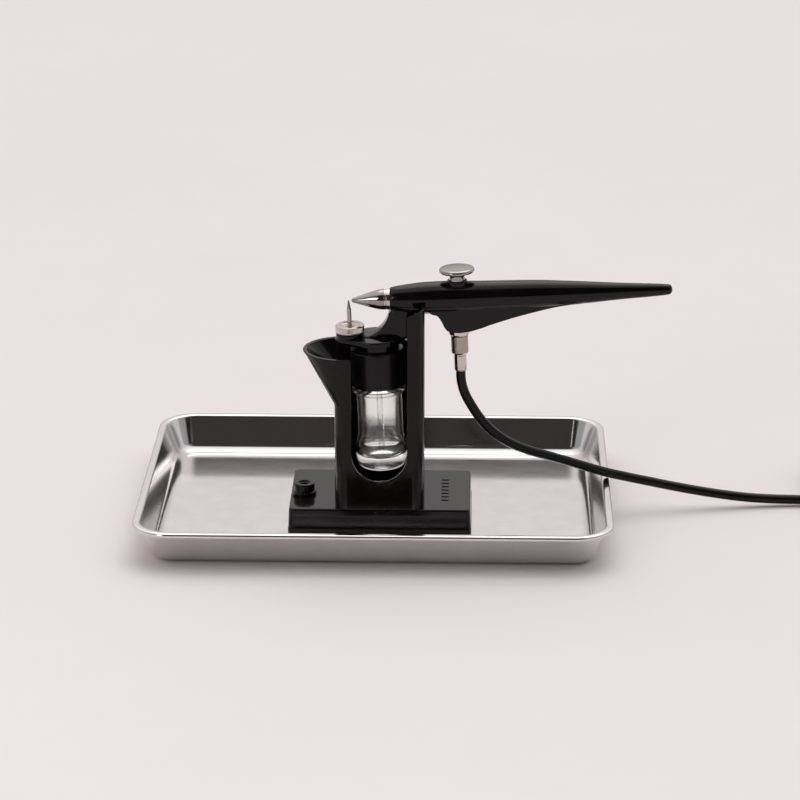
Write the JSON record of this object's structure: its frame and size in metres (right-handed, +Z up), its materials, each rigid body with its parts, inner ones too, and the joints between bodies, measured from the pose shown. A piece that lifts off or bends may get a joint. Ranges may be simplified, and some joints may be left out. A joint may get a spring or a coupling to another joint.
{
  "type": "airbrush holder stand",
  "caption": "Desk stand with a drip tray and pouring cup that holds a bottle-fed airbrush upright, with its paint jar, air valve button, flow dial and coiled air hose.",
  "frame": {"origin": "centre of the tray's flat underside, on the table", "axes": "+X along the tray's length towards the side where the hose leaves, +Y to the back, away from the column's slotted front, +Z up"},
  "size_m": [0.4131, 0.182, 0.1354],
  "materials": {
    "tray_steel": "bright, fine satin",
    "gloss_black": "glossy",
    "body_black": "glossy",
    "satin_black": "satin",
    "lid_black": "satin",
    "ballast_steel": "plain zinc",
    "foot_rubber": "matt",
    "seal_rubber": "matt",
    "seal_white": "matt",
    "screw_steel": "zinc plated",
    "needle_steel": "ground",
    "nickel": "polished nickel",
    "brass": "turned",
    "clear_tube": "clear",
    "jar_glass": "clear pressed glass",
    "hose_black": "glossy vinyl",
    "tie_black": "woven hook-and-loop"
  },
  "bodies": {
    "tray": {"tray": "tray_steel"},
    "stand": {"base_shell": "gloss_black", "base_plate": "satin_black", "ballast_plate": "ballast_steel", "base_feet": "foot_rubber", "base_screws": "screw_steel", "column": "gloss_black", "column_screws": "screw_steel", "socket_post": "gloss_black", "hose_coil": "hose_black", "coil_tie": "tie_black", "end_barb": "nickel"},
    "airbrush": {"body_left": "body_black", "body_right": "body_black", "nozzle_bracket": "body_black", "air_nozzle": "nickel", "nozzle_collar": "nickel", "air_tube": "brass", "valve_body": "brass", "valve_o_ring": "seal_rubber", "valve_spring": "screw_steel", "button_collar": "body_black", "inlet_adapter": "nickel", "suction_tube": "clear_tube", "jar_lid": "lid_black", "lid_gasket": "seal_white", "hose_barb": "brass", "hose_ferrule": "nickel", "hose": "hose_black"},
    "button": {"button_cap": "nickel", "button_stem": "screw_steel"},
    "dial": {"flow_dial": "nickel"},
    "needle": {"paint_nozzle": "needle_steel"},
    "jar": {"jar": "jar_glass"},
    "nut": {"hose_nut": "nickel"},
    "far_nut": {"end_nut": "nickel"}
  },
  "joints": [
    {"name": "stand_lift", "type": "slide", "parent": "tray", "child": "stand", "axis": [0, 0, 1], "range_m": [0, 0.025]},
    {"name": "airbrush_lift", "type": "slide", "parent": "stand", "child": "airbrush", "axis": [0, 0, 1], "range_m": [0, 0.065]},
    {"name": "button_press", "type": "slide", "parent": "airbrush", "child": "button", "axis": [0.0436, 0, -0.999], "range_m": [0, 0.0026], "stiffness_N_per_m": 300, "springref_m": -0.004, "deforming": ["valve_spring"]},
    {"name": "dial_turn", "type": "hinge", "parent": "airbrush", "child": "dial", "pos_m": [-0.01238, -0.0283, 0.10435], "axis": [-0.0436, 0, 0.999], "range_deg": [-180, 180]},
    {"name": "nozzle_height", "type": "slide", "parent": "airbrush", "child": "needle", "axis": [-0.0436, 0, 0.999], "range_m": [-0.00036, 0.00036]},
    {"name": "jar_off", "type": "slide", "parent": "airbrush", "child": "jar", "axis": [0.0436, 0, -0.999], "range_m": [0, 0.0125]},
    {"name": "hose_nut_turn", "type": "hinge", "parent": "airbrush", "child": "nut", "pos_m": [0.04186, -0.0283, 0.09551], "axis": [-0.0436, 0, 0.999], "continuous": true},
    {"name": "end_nut_turn", "type": "hinge", "parent": "stand", "child": "far_nut", "pos_m": [0.28917, 0.03983, 0.01445], "axis": [0.342, 0.9397, 0], "continuous": true}
  ],
  "couplings": [
    {"joint": "nozzle_height", "follows": "dial_turn", "m_per_rad": 0.00011141}
  ]
}
